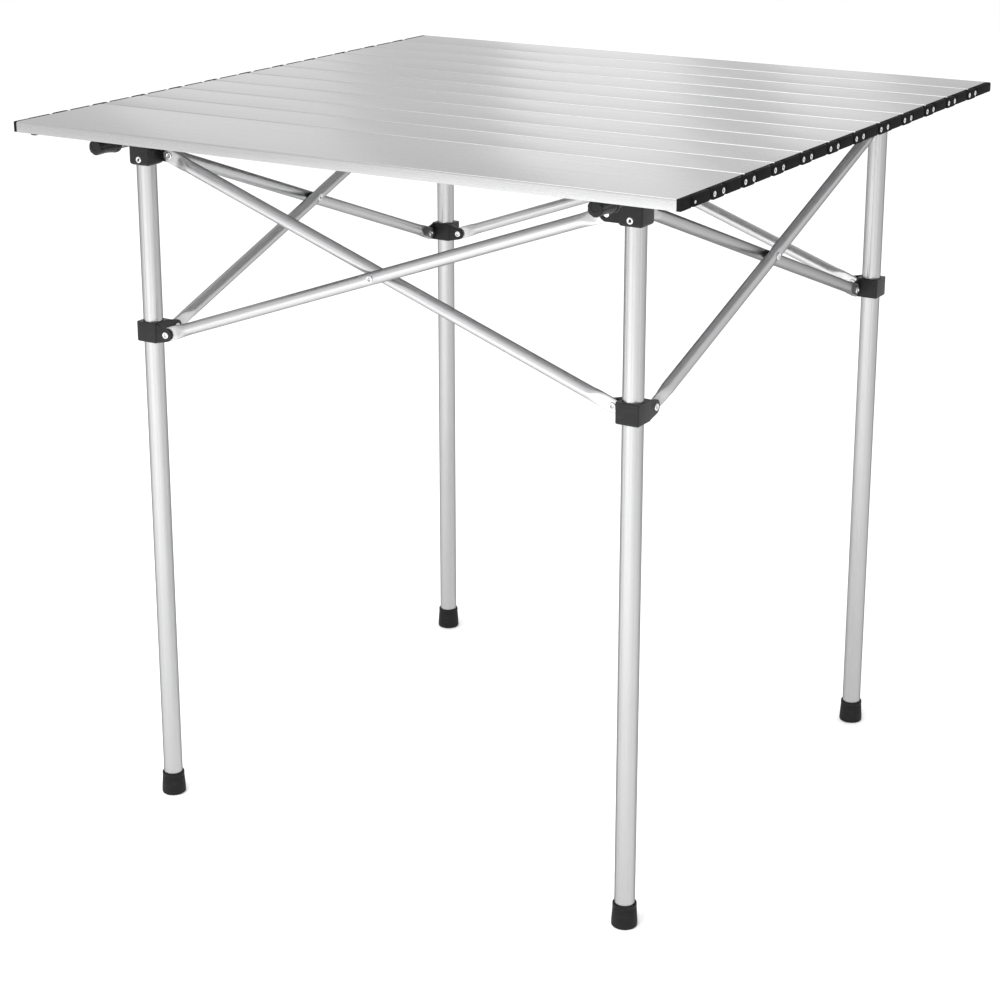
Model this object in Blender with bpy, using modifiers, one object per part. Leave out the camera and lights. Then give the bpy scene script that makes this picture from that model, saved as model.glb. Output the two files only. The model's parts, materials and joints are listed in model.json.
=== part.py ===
"""Folding aluminium camping table with a roll-up slatted top.

Metres, +Z up.  The origin is on the floor under the middle of the top.
X runs along the slats (left to right), Y runs from the front to the back.
The frame repeats every quarter turn about Z: corner 0 is front right, then
back right, back left and front left; side 0 is the front, then right, back
and left.  Each side is a pair of crossed tubes, an outer and an inner one.
"""
import math

import bpy
import bmesh
from mathutils import Matrix, Vector

# --- whole table -----------------------------------------------------------
TOP_WIDTH = 0.700
TOP_DEPTH = 0.700
TABLE_HEIGHT = 0.700

# --- legs and feet ---------------------------------------------------------
LEG_SPREAD = 0.263
LEG_RADIUS = 0.0095
LEG_WALL = 0.0012
FOOT_HEIGHT = 0.023
FOOT_RADIUS = 0.0117
FOOT_FLARE = 0.0004
FOOT_FLOOR = 0.003
FIT_GAP = 0.0003

# --- corner brackets and sliding collars -----------------------------------
BLOCK_WIDTH = 0.023
BRACKET_BOTTOM = 0.654
BRACKET_TOP = 0.6764
BORE_TOP = 0.6715
SLIDER_HEIGHT = 0.020
EAR_THICKNESS = 0.0025
EAR_RADIUS = 0.0065
EAR_OFFSET = 0.01005
EAR_INSET = 0.0005
BRACKET_EAR_STEP = 0.0022
PIN_RADIUS = 0.002
PIN_HOLE_RADIUS = 0.0024
HOOK_SLOT_WIDTH = 0.0046
HOOK_SLOT_LEAN = math.radians(35.0)

# --- scissor tubes ---------------------------------------------------------
PIVOT_REACH = 0.023
TOP_PIVOT_Z = 0.663
SLIDER_PIVOT_Z = 0.491
TUBE_RADIUS = 0.006
TUBE_OFFSET = 0.007
TUBE_FLAT_HALF_WIDTH = 0.0068
TUBE_FLAT_HALF_THICKNESS = 0.0015
TUBE_FLAT_LENGTH = 0.009
TUBE_TAPER_LENGTH = 0.022
RIVET_HEAD_RADIUS = 0.0038
RIVET_HEAD_HEIGHT = 0.0013
RIVET_SINK = 0.0006
RIVET_ROOT = 0.0002

# --- support rods ----------------------------------------------------------
ROD_RADIUS = 0.0075
ROD_WALL = 0.0012
ROD_HALF_LENGTH = 0.306
GRIP_LENGTH = 0.029
GRIP_FRONT_RADIUS = 0.0074
GRIP_REAR_RADIUS = 0.0088
GRIP_DROP = 0.0014
PLUG_RADIUS = 0.0068
GRIP_SPIGOT = 0.018

# --- slatted top -----------------------------------------------------------
SLAT_THICKNESS = 0.010
SLAT_SKIN = 0.0013
SLAT_CORNER = 0.0018
SLAT_GAP = 0.0016
SLAT_COUNT = 11
FRONT_PANEL = 0.122
SLAT_PITCH = 0.0581
SLAT_HALF_LENGTH = 0.344
CAP_OVERLAP = 0.0006
CAP_FLANGE = 0.0012
CAP_BLOCK = 0.0052
CAP_INSET = 0.0003
LINK_THICKNESS = 0.0045
LINK_PIN_OFFSET = 0.008
LINK_END_RADIUS = 0.0048
LINK_PIN_RADIUS = 0.0015
LINK_PIN_LENGTH = 0.006
LINK_HOLE_RADIUS = 0.0019
LINK_CLEARANCE = 0.0004

# --- mesh fineness ---------------------------------------------------------
ROUND_STEPS = 20
TUBE_STEPS = 12
PIN_STEPS = 8
EAR_STEPS = 6
CORNER_STEPS = 2
LINK_END_STEPS = 6
TUBE_END_STEPS = 3
MERGE = 0.00005

SLAT_BOTTOM = TABLE_HEIGHT - SLAT_THICKNESS
SLAT_MIDDLE = TABLE_HEIGHT - SLAT_THICKNESS / 2
ROD_Z = SLAT_BOTTOM - FIT_GAP - ROD_RADIUS
CORNER_NAMES = ("front_right", "back_right", "back_left", "front_left")
SIDE_NAMES = ("front", "right", "back", "left")
QUARTER = math.pi / 2


# --- scene and materials ---------------------------------------------------
def clear_scene():
    for old in list(bpy.data.objects):
        bpy.data.objects.remove(old, do_unlink=True)


def new_collection(name):
    collection = bpy.data.collections.new(name)
    bpy.context.scene.collection.children.link(collection)
    return collection


def new_material(name, colour, roughness, metallic):
    material = bpy.data.materials.new(name)
    material.use_nodes = True
    shader = material.node_tree.nodes["Principled BSDF"]
    shader.inputs["Base Color"].default_value = (*colour, 1.0)
    shader.inputs["Roughness"].default_value = roughness
    shader.inputs["Metallic"].default_value = metallic
    return material


def new_object(name, mesh, collection, material=None):
    piece = bpy.data.objects.new(name, mesh)
    collection.objects.link(piece)
    if material is not None:
        mesh.materials.clear()
        mesh.materials.append(material)
    return piece


def mesh_from(build, name="shape"):
    """Run a bmesh builder and return the mesh it leaves."""
    shape = bmesh.new()
    build(shape)
    mesh = bpy.data.meshes.new(name)
    shape.to_mesh(mesh)
    shape.free()
    return mesh


def bake(piece):
    """Replace a piece's mesh by what its modifiers make of it."""
    bpy.context.view_layer.update()
    graph = bpy.context.evaluated_depsgraph_get()
    mesh = bpy.data.meshes.new_from_object(piece.evaluated_get(graph))
    piece.modifiers.clear()
    piece.data = mesh


def face_outwards(mesh):
    """Weld a mesh's loose seams and turn its faces outwards."""
    shape = bmesh.new()
    shape.from_mesh(mesh)
    bmesh.ops.remove_doubles(shape, verts=shape.verts, dist=MERGE)
    bmesh.ops.recalc_face_normals(shape, faces=shape.faces)
    shape.to_mesh(mesh)
    shape.free()


def combine(piece, tools, operation):
    """Join tools to a piece, or cut them out of it, and remove them."""
    for tool in tools:
        step = piece.modifiers.new(operation.lower(), "BOOLEAN")
        step.operation = operation
        step.solver = "EXACT"
        step.object = tool
        bake(piece)
        bpy.data.objects.remove(tool, do_unlink=True)


def smooth_round(piece, angle=math.radians(35.0)):
    piece.data.shade_smooth()
    piece.data.set_sharp_from_angle(angle=angle)


def place(piece, corner, location=(0.0, 0.0, 0.0)):
    """Put a piece modelled at corner or side 0 a number of quarter turns on."""
    turn = Matrix.Rotation(corner * QUARTER, 4, "Z")
    piece.matrix_world = turn @ Matrix.Translation(location)


def move_origin(piece, point):
    """Shift a mesh so that the object's origin lies on a world point."""
    here = piece.matrix_world.copy()
    local = here.inverted() @ Vector(point)
    piece.data.transform(Matrix.Translation(-local))
    piece.matrix_world = here @ Matrix.Translation(local)


# --- simple solids ---------------------------------------------------------
def box(name, low, high, collection, bevel=0.0, upright_only=True):
    """A box between two corners, with rounded upright edges if asked."""
    low = Vector(low)
    high = Vector(high)

    def build(shape):
        bmesh.ops.create_cube(shape, size=1.0)
        size = high - low
        bmesh.ops.scale(shape, vec=size, verts=shape.verts)
        bmesh.ops.translate(shape, vec=(low + high) / 2, verts=shape.verts)
        if bevel > 0.0:
            edges = [edge for edge in shape.edges if not upright_only or is_upright(edge)]
            bmesh.ops.bevel(shape, geom=edges, offset=bevel, segments=2, profile=0.5,
                            affect="EDGES", offset_type="OFFSET")

    return new_object(name, mesh_from(build), collection)


def is_upright(edge):
    start, end = (vert.co for vert in edge.verts)
    return abs(start.z - end.z) > abs(start.x - end.x) + abs(start.y - end.y)


def rod_between(name, start, end, radius, collection, steps=PIN_STEPS, end_radius=None):
    """A round bar, or a cone frustum, from one point to another."""
    start = Vector(start)
    end = Vector(end)
    along = end - start
    spin = along.to_track_quat("Z", "Y").to_matrix().to_4x4()
    middle = Matrix.Translation((start + end) / 2)

    def build(shape):
        bmesh.ops.create_cone(shape, cap_ends=True, segments=steps, radius1=radius,
                              radius2=end_radius or radius, depth=along.length,
                              matrix=middle @ spin)

    return new_object(name, mesh_from(build), collection)


def turned(name, profile, collection, material, steps=ROUND_STEPS):
    """Turn a profile of (radius, height) points about Z, outer side downwards."""
    def build(shape):
        verts = [shape.verts.new((radius, 0.0, height)) for radius, height in profile]
        for first, second in zip(verts, verts[1:]):
            shape.edges.new((first, second))
        if profile[0][0] > 0.0:
            shape.edges.new((verts[-1], verts[0]))

    piece = new_object(name, mesh_from(build), collection, material)
    screw = piece.modifiers.new("turn", "SCREW")
    screw.steps = steps
    screw.render_steps = steps
    screw.use_merge_vertices = True
    screw.merge_threshold = MERGE
    bake(piece)
    face_outwards(piece.data)
    smooth_round(piece)
    return piece


def extrude_outline(name, outline, low_x, high_x, collection):
    """Extrude a closed (Y, Z) outline along X as a filled 2D curve."""
    curve = bpy.data.curves.new(name, "CURVE")
    curve.dimensions = "2D"
    curve.fill_mode = "BOTH"
    curve.extrude = (high_x - low_x) / 2
    spline = curve.splines.new("POLY")
    spline.points.add(len(outline) - 1)
    for point, (y, z) in zip(spline.points, outline):
        point.co = (y, z, 0.0, 1.0)
    spline.use_cyclic_u = True
    holder = bpy.data.objects.new(name + "_curve", curve)
    collection.objects.link(holder)
    swap = Matrix(((0, 0, 1, (low_x + high_x) / 2), (1, 0, 0, 0), (0, 1, 0, 0), (0, 0, 0, 1)))
    holder.matrix_world = swap
    bpy.context.view_layer.update()
    graph = bpy.context.evaluated_depsgraph_get()
    mesh = bpy.data.meshes.new_from_object(holder.evaluated_get(graph))
    mesh.transform(swap)
    bpy.data.objects.remove(holder, do_unlink=True)
    face_outwards(mesh)
    return new_object(name, mesh, collection)


# --- legs ------------------------------------------------------------------
def make_leg(corner, collection, material):
    bottom = FOOT_FLOOR + FIT_GAP
    top = BORE_TOP - FIT_GAP
    inner = LEG_RADIUS - LEG_WALL
    profile = [(inner, bottom), (inner, top), (LEG_RADIUS, top), (LEG_RADIUS, bottom)]
    leg = turned("leg_" + CORNER_NAMES[corner], profile, collection, material)
    place(leg, corner, (LEG_SPREAD, -LEG_SPREAD, 0.0))
    return leg


def make_foot(corner, collection, material):
    inner = LEG_RADIUS + FIT_GAP
    flared = FOOT_RADIUS + FOOT_FLARE
    rim_step = 0.0035
    sole_round = 0.0010
    profile = [
        (0.0, FOOT_FLOOR),
        (inner, FOOT_FLOOR),
        (inner, FOOT_HEIGHT),
        (FOOT_RADIUS - FOOT_FLARE, FOOT_HEIGHT),
        (FOOT_RADIUS, FOOT_HEIGHT - FOOT_FLARE),
        (FOOT_RADIUS, FOOT_HEIGHT - rim_step),
        (FOOT_RADIUS - FOOT_FLARE, FOOT_HEIGHT - rim_step - FOOT_FLARE),
        (flared, 2 * sole_round),
        (flared - sole_round / 2, sole_round / 2),
        (flared - 2 * sole_round, 0.0),
        (0.0, 0.0),
    ]
    foot = turned("foot_" + CORNER_NAMES[corner], profile, collection, material)
    place(foot, corner, (LEG_SPREAD, -LEG_SPREAD, 0.0))
    return foot


# --- corner brackets and sliding collars ------------------------------------
# Both are modelled about their leg's axis at corner 0.  There the front side's
# tubes arrive from -X and the right side's from +Y.
def touch_angle(run, rise):
    """Where a line from a point run before and rise off the pivot touches the ear's round end."""
    slope = math.atan2(rise, run) - math.asin(EAR_RADIUS / math.hypot(run, rise))
    return QUARTER - slope


def ear(direction, side_offset, pivot_z, root_low, root_high, collection):
    """A plate that tapers from the block to a round end about a pivot.

    direction is "-X" or "+Y"; side_offset is the plate's middle across it.
    """
    edge = BLOCK_WIDTH / 2
    root = edge - 0.002
    run = PIVOT_REACH - edge
    first = -touch_angle(run, pivot_z - root_low)
    last = touch_angle(run, root_high - pivot_z)
    outline = [(root, root_low), (edge, root_low)]
    for step in range(EAR_STEPS + 1):
        angle = first + (last - first) * step / EAR_STEPS
        outline.append((PIVOT_REACH + EAR_RADIUS * math.cos(angle),
                        pivot_z + EAR_RADIUS * math.sin(angle)))
    outline += [(edge, root_high), (root, root_high)]
    plate = extrude_outline("ear", outline, side_offset - EAR_THICKNESS / 2,
                            side_offset + EAR_THICKNESS / 2, collection)
    along = Vector((0, 1, 0))
    across = Vector((1, 0, 0))
    if direction == "-X":
        plate.data.transform(Matrix.Rotation(QUARTER, 4, "Z"))
        along = Vector((-1, 0, 0))
        across = Vector((0, 1, 0))
    hub = across * side_offset + along * PIVOT_REACH + Vector((0, 0, pivot_z))
    half = across * (EAR_THICKNESS / 2)
    hole = rod_between("hole", hub - 2 * half, hub + 2 * half, PIN_HOLE_RADIUS, collection)
    return plate, hole, hub, half


def hook_slot(hub, half, collection):
    """The opening that turns an ear's hole into a hook open at the top."""
    reach = 2 * EAR_RADIUS
    slot = box("slot", (-HOOK_SLOT_WIDTH / 2, -2 * half.length, 0.0),
               (HOOK_SLOT_WIDTH / 2, 2 * half.length, reach), collection)
    slot.data.transform(Matrix.Rotation(-HOOK_SLOT_LEAN, 4, "Y"))
    slot.data.transform(Matrix.Translation(hub))
    return slot


def make_bracket(corner, collection, cutters, material):
    half_width = BLOCK_WIDTH / 2
    block = box("bracket_" + CORNER_NAMES[corner],
                (-half_width, -half_width, BRACKET_BOTTOM),
                (half_width, half_width, BRACKET_TOP), collection, bevel=0.003)
    block.data.materials.append(material)
    low = BRACKET_BOTTOM + BRACKET_EAR_STEP
    high = BRACKET_TOP - EAR_INSET
    outer = ear("-X", -EAR_OFFSET, TOP_PIVOT_Z, low, high, cutters)
    inner = ear("+Y", -EAR_OFFSET, TOP_PIVOT_Z, low, high, cutters)
    slot = hook_slot(outer[2], outer[3], cutters)
    bore = rod_between("bore", (0, 0, BRACKET_BOTTOM - 0.001), (0, 0, BORE_TOP),
                       LEG_RADIUS + FIT_GAP, cutters, ROUND_STEPS)
    combine(block, [outer[0], inner[0]], "UNION")
    saddle_along = Vector((0, 1, 0)) if corner % 2 == 0 else Vector((1, 0, 0))
    middle = Vector((0, 0, ROD_Z))
    saddle = rod_between("saddle", middle - BLOCK_WIDTH * saddle_along,
                         middle + BLOCK_WIDTH * saddle_along,
                         ROD_RADIUS + FIT_GAP, cutters, ROUND_STEPS)
    combine(block, [outer[1], inner[1], slot, bore, saddle], "DIFFERENCE")
    smooth_round(block)
    place(block, corner, (LEG_SPREAD, -LEG_SPREAD, 0.0))
    return block


def make_slider(corner, collection, cutters, material):
    half_width = BLOCK_WIDTH / 2
    bottom = SLIDER_PIVOT_Z - SLIDER_HEIGHT / 2
    top = SLIDER_PIVOT_Z + SLIDER_HEIGHT / 2
    block = box("slider_" + CORNER_NAMES[corner], (-half_width, -half_width, bottom),
                (half_width, half_width, top), collection, bevel=0.003)
    block.data.materials.append(material)
    low = bottom + EAR_INSET
    high = top - EAR_INSET
    inner = ear("-X", EAR_OFFSET, SLIDER_PIVOT_Z, low, high, cutters)
    outer = ear("+Y", EAR_OFFSET, SLIDER_PIVOT_Z, low, high, cutters)
    bore = rod_between("bore", (0, 0, bottom - 0.001), (0, 0, top + 0.001),
                       LEG_RADIUS + FIT_GAP, cutters, ROUND_STEPS)
    combine(block, [outer[0], inner[0]], "UNION")
    combine(block, [outer[1], inner[1], bore], "DIFFERENCE")
    smooth_round(block)
    place(block, corner, (LEG_SPREAD, -LEG_SPREAD, 0.0))
    return block


# --- scissor tubes ---------------------------------------------------------
def tube_section(along, half_length):
    """Half width and half thickness of a tube with flattened, rounded ends."""
    past_pivot = along - half_length
    if past_pivot > 0.0:
        fall = math.sqrt(max(0.0, 1.0 - (past_pivot / TUBE_FLAT_HALF_WIDTH) ** 2))
        return TUBE_FLAT_HALF_WIDTH * max(fall, 0.25), TUBE_FLAT_HALF_THICKNESS
    inside = -past_pivot - TUBE_FLAT_LENGTH
    share = min(1.0, max(0.0, inside / TUBE_TAPER_LENGTH))
    blend = share * share * (3.0 - 2.0 * share)
    width = TUBE_FLAT_HALF_WIDTH + (TUBE_RADIUS - TUBE_FLAT_HALF_WIDTH) * blend
    thickness = TUBE_FLAT_HALF_THICKNESS + (TUBE_RADIUS - TUBE_FLAT_HALF_THICKNESS) * blend
    return width, thickness


def tube_stations(half_length):
    """Where the rings of a tube's right half stand, from the middle outwards."""
    taper_start = half_length - TUBE_FLAT_LENGTH - TUBE_TAPER_LENGTH
    steps = range(TUBE_END_STEPS + 1)
    tapers = [taper_start + TUBE_TAPER_LENGTH * step / TUBE_END_STEPS for step in steps]
    ends = [TUBE_FLAT_HALF_WIDTH * math.sin(QUARTER * step / TUBE_END_STEPS) for step in steps]
    return tapers + [half_length + end for end in ends]


def flattened_tube(name, half_length, collection, material):
    """A tube along X, loft of round sections into flat ends, thin way along Y."""
    right = tube_stations(half_length)
    stations = [-place_x for place_x in reversed(right)] + right

    def build(shape):
        rings = []
        for station in stations:
            width, thickness = tube_section(abs(station), half_length)
            ring = []
            for step in range(TUBE_STEPS):
                angle = 2 * math.pi * step / TUBE_STEPS
                ring.append(shape.verts.new((station, thickness * math.cos(angle),
                                             width * math.sin(angle))))
            rings.append(ring)
        for first, second in zip(rings, rings[1:]):
            for step in range(TUBE_STEPS):
                after = (step + 1) % TUBE_STEPS
                shape.faces.new((first[step], first[after], second[after], second[step]))
        shape.faces.new(list(reversed(rings[0])))
        shape.faces.new(rings[-1])
        bmesh.ops.recalc_face_normals(shape, faces=shape.faces)

    return new_object(name, mesh_from(build), collection, material)


def rivet(centre, low, high, collection):
    """A pin along Y through centre with a domed head at each end."""
    x, z = centre
    shank = rod_between("shank", (x, low, z), (x, high, z), PIN_RADIUS, collection)
    heads = []
    for start, way in ((low, -1), (high, 1)):
        root = (x, start - way * RIVET_ROOT, z)
        tip = (x, start + way * RIVET_HEAD_HEIGHT, z)
        heads.append(rod_between("head", root, tip, RIVET_HEAD_RADIUS, collection,
                                 PIN_STEPS, RIVET_HEAD_RADIUS * 0.6))
    combine(shank, heads, "UNION")
    return shank


def make_brace(side, is_outer, collection, cutters, material):
    """One crossed tube of a side, with its end rivets and maybe the centre one."""
    half_span = LEG_SPREAD - PIVOT_REACH
    rise = TOP_PIVOT_Z - SLIDER_PIVOT_Z
    half_length = math.hypot(2 * half_span, rise) / 2
    tilt = math.atan2(rise, 2 * half_span)
    lean = 1 if is_outer else -1
    outward = -1 if is_outer else 1
    kind = "outer" if is_outer else "inner"
    name = "brace_" + SIDE_NAMES[side] + "_" + kind
    tube = flattened_tube(name, half_length, collection, material)
    flat = TUBE_FLAT_HALF_THICKNESS
    ear_far = EAR_OFFSET - TUBE_OFFSET + EAR_THICKNESS / 2 + FIT_GAP
    for end in (-half_length, half_length):
        if is_outer:
            pin = rivet((end, 0.0), -ear_far, flat, cutters)
        else:
            pin = rivet((end, 0.0), -flat, ear_far, cutters)
        combine(tube, [pin], "UNION")
    if is_outer:
        centre = rivet((0.0, 0.0), RIVET_SINK - TUBE_RADIUS,
                       2 * TUBE_OFFSET + TUBE_RADIUS + 2 * FIT_GAP, cutters)
        combine(tube, [centre], "UNION")
    else:
        hole = rod_between("hole", (0.0, -2 * TUBE_RADIUS, 0.0), (0.0, 2 * TUBE_RADIUS, 0.0),
                           PIN_HOLE_RADIUS, cutters)
        combine(tube, [hole], "DIFFERENCE")
    smooth_round(tube)
    tube.data.transform(Matrix.Rotation(-lean * tilt, 4, "Y"))
    middle_z = (TOP_PIVOT_Z + SLIDER_PIVOT_Z) / 2
    place(tube, side, (0.0, -LEG_SPREAD + outward * TUBE_OFFSET, middle_z))
    return tube


# --- support rods and grips ------------------------------------------------
def make_rod(side_sign, collection, cutters, material):
    """A hollow rod from front to back, with the plug in its back end."""
    name = "support_rod_" + ("right" if side_sign > 0 else "left")
    inner = ROD_RADIUS - ROD_WALL
    profile = [(inner, -ROD_HALF_LENGTH), (inner, ROD_HALF_LENGTH),
               (ROD_RADIUS, ROD_HALF_LENGTH), (ROD_RADIUS, -ROD_HALF_LENGTH)]
    rod = turned(name, profile, collection, material, TUBE_STEPS)
    plug = rod_between("plug", (0.0, 0.0, ROD_HALF_LENGTH - 0.003),
                       (0.0, 0.0, ROD_HALF_LENGTH + GRIP_LENGTH),
                       ROD_RADIUS, cutters, TUBE_STEPS, PLUG_RADIUS)
    combine(rod, [plug], "UNION")
    smooth_round(rod)
    rod.data.transform(Matrix.Rotation(-QUARTER, 4, "X"))
    rod.matrix_world = Matrix.Translation((side_sign * LEG_SPREAD, 0.0, ROD_Z))
    return rod


def make_grip(side_sign, collection, material):
    """The front plug: a tapered grip with a ring and a spigot inside the rod."""
    name = "grip_" + ("right" if side_sign > 0 else "left")
    spigot = ROD_RADIUS - ROD_WALL - FIT_GAP
    ring = 0.004
    groove = 0.0008
    profile = [
        (0.0, GRIP_SPIGOT),
        (spigot, GRIP_SPIGOT),
        (spigot, 0.0),
        (GRIP_REAR_RADIUS, 0.0),
        (GRIP_REAR_RADIUS, -ring),
        (GRIP_REAR_RADIUS - groove, -ring - groove),
        (GRIP_FRONT_RADIUS, groove * 2 - GRIP_LENGTH),
        (GRIP_FRONT_RADIUS - groove, -GRIP_LENGTH),
        (0.0, -GRIP_LENGTH),
    ]
    grip = turned(name, profile, collection, material, TUBE_STEPS)
    for vert in grip.data.vertices:
        if vert.co.z <= 0.0 and vert.co.xy.length > spigot + groove:
            vert.co.y += GRIP_DROP
    grip.data.transform(Matrix.Rotation(-QUARTER, 4, "X"))
    grip.matrix_world = Matrix.Translation((side_sign * LEG_SPREAD,
                                            -ROD_HALF_LENGTH - FIT_GAP, ROD_Z))
    return grip


# --- slatted top -----------------------------------------------------------
def slat_edges(index):
    """Front and back edge of a slat, counted from the front."""
    front = -TOP_DEPTH / 2
    first_gap = front + FRONT_PANEL
    low = front if index == 0 else first_gap + (index - 1) * SLAT_PITCH + SLAT_GAP / 2
    high = first_gap + index * SLAT_PITCH - SLAT_GAP / 2
    if index == SLAT_COUNT - 1:
        high = TOP_DEPTH / 2
    return low, high


def gap_centre(index):
    """Y of the gap behind a slat, counted from the front."""
    return -TOP_DEPTH / 2 + FRONT_PANEL + index * SLAT_PITCH


def corner_arc(centre, start, end):
    """Points of a rounded corner in the slat's (Y, Z) section."""
    points = []
    for step in range(CORNER_STEPS + 1):
        angle = start + (end - start) * step / CORNER_STEPS
        points.append((centre[0] + SLAT_CORNER * math.cos(angle),
                       centre[1] + SLAT_CORNER * math.sin(angle)))
    return points


def channel_outline(low, high):
    """Section of a slat: a skin with two side walls, open underneath."""
    top = TABLE_HEIGHT
    bottom = SLAT_BOTTOM
    front_round = corner_arc((low + SLAT_CORNER, top - SLAT_CORNER), math.pi, QUARTER)
    back_round = corner_arc((high - SLAT_CORNER, top - SLAT_CORNER), QUARTER, 0.0)
    inside = [(high, bottom), (high - SLAT_SKIN, bottom), (high - SLAT_SKIN, top - SLAT_SKIN),
              (low + SLAT_SKIN, top - SLAT_SKIN), (low + SLAT_SKIN, bottom), (low, bottom)]
    return front_round + back_round + inside


def cap_block_span(index):
    """Y range of the thick part of a slat's end cap, between its links."""
    low, high = slat_edges(index)
    reach = LINK_PIN_OFFSET + LINK_END_RADIUS + LINK_CLEARANCE
    start = low if index == 0 else gap_centre(index - 1) + reach
    end = high if index == SLAT_COUNT - 1 else gap_centre(index) - reach
    return start, end


def end_plate(name, from_x, to_x, low, high, inset, collection):
    """A block across a slat's end, held in from its outline on all sides."""
    low_x, high_x = sorted((from_x, to_x))
    return box(name, (low_x, low + inset, SLAT_BOTTOM + inset),
               (high_x, high - inset, TABLE_HEIGHT - inset), collection)


def make_slat(index, collection, cutters, material):
    low, high = slat_edges(index)
    name = "slat_%02d" % (index + 1)
    slat = extrude_outline(name, channel_outline(low, high), -SLAT_HALF_LENGTH,
                           SLAT_HALF_LENGTH, collection)
    slat.data.materials.append(material)
    block_low, block_high = cap_block_span(index)
    for end in (-1, 1):
        inner_x = end * (SLAT_HALF_LENGTH - CAP_OVERLAP)
        flange_x = end * (SLAT_HALF_LENGTH + CAP_FLANGE)
        flange = end_plate("flange", inner_x, flange_x, low, high, CAP_INSET, cutters)
        root_x = end * (SLAT_HALF_LENGTH + CAP_FLANGE / 2)
        block_x = end * (SLAT_HALF_LENGTH + CAP_BLOCK)
        block = end_plate("block", root_x, block_x, block_low, block_high,
                          2 * CAP_INSET, cutters)
        combine(flange, [block], "UNION")
        combine(slat, [flange], "UNION")
        holes = []
        pins = []
        if index > 0:
            pins.append(gap_centre(index - 1) + LINK_PIN_OFFSET)
        if index < SLAT_COUNT - 1:
            pins.append(gap_centre(index) - LINK_PIN_OFFSET)
        for pin_y in pins:
            start = (end * (SLAT_HALF_LENGTH - 2 * CAP_FLANGE), pin_y, SLAT_MIDDLE)
            finish = (end * (SLAT_HALF_LENGTH + 2 * CAP_FLANGE), pin_y, SLAT_MIDDLE)
            holes.append(rod_between("hole", start, finish, LINK_HOLE_RADIUS, cutters, 8))
        combine(slat, holes, "DIFFERENCE")
    if index < SLAT_COUNT - 1:
        move_origin(slat, (0.0, gap_centre(index) - LINK_PIN_OFFSET, SLAT_MIDDLE))
    return slat


def make_link(index, end, collection, cutters, material):
    """A plate with two pins that joins neighbouring slats at one end."""
    name = "link_%02d_%s" % (index + 1, "right" if end > 0 else "left")
    centre = gap_centre(index)
    outer_x = TOP_WIDTH / 2
    inner_x = outer_x - LINK_THICKNESS
    outline = []
    for way in (-1, 1):
        for step in range(LINK_END_STEPS + 1):
            angle = way * QUARTER + math.pi * step / LINK_END_STEPS
            outline.append((centre - way * LINK_PIN_OFFSET + LINK_END_RADIUS * math.cos(angle),
                            SLAT_MIDDLE + LINK_END_RADIUS * math.sin(angle)))
    low_x, high_x = sorted((end * inner_x, end * outer_x))
    link = extrude_outline(name, outline, low_x, high_x, collection)
    link.data.materials.append(material)
    pins = []
    for way in (-1, 1):
        pin_y = centre + way * LINK_PIN_OFFSET
        start = (end * (inner_x + 0.0005), pin_y, SLAT_MIDDLE)
        finish = (end * (inner_x - LINK_PIN_LENGTH), pin_y, SLAT_MIDDLE)
        pins.append(rod_between("pin", start, finish, LINK_PIN_RADIUS, cutters, 8))
    combine(link, pins, "UNION")
    move_origin(link, (0.0, centre + LINK_PIN_OFFSET, SLAT_MIDDLE))
    return link


def main():
    clear_scene()
    parts = new_collection("folding_camping_table")
    cutters = new_collection("cutters")
    tube_metal = new_material("anodised_tube", (0.62, 0.62, 0.63), 0.38, 1.0)
    slat_metal = new_material("anodised_slat", (0.70, 0.70, 0.71), 0.30, 1.0)
    plastic = new_material("black_plastic", (0.018, 0.018, 0.020), 0.45, 0.0)
    rubber = new_material("black_rubber", (0.015, 0.015, 0.016), 0.65, 0.0)

    for corner in range(4):
        make_leg(corner, parts, tube_metal)
        make_foot(corner, parts, rubber)
        make_bracket(corner, parts, cutters, plastic)
        make_slider(corner, parts, cutters, plastic)
    for side in range(4):
        make_brace(side, True, parts, cutters, tube_metal)
        make_brace(side, False, parts, cutters, tube_metal)
    for side_sign in (-1, 1):
        make_rod(side_sign, parts, cutters, tube_metal)
        make_grip(side_sign, parts, plastic)
    for index in range(SLAT_COUNT):
        make_slat(index, parts, cutters, slat_metal)
    for index in range(SLAT_COUNT - 1):
        for end in (-1, 1):
            make_link(index, end, parts, cutters, plastic)


main()
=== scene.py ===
import json
import math

import bmesh
import bpy
from mathutils import Matrix, Vector


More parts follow.
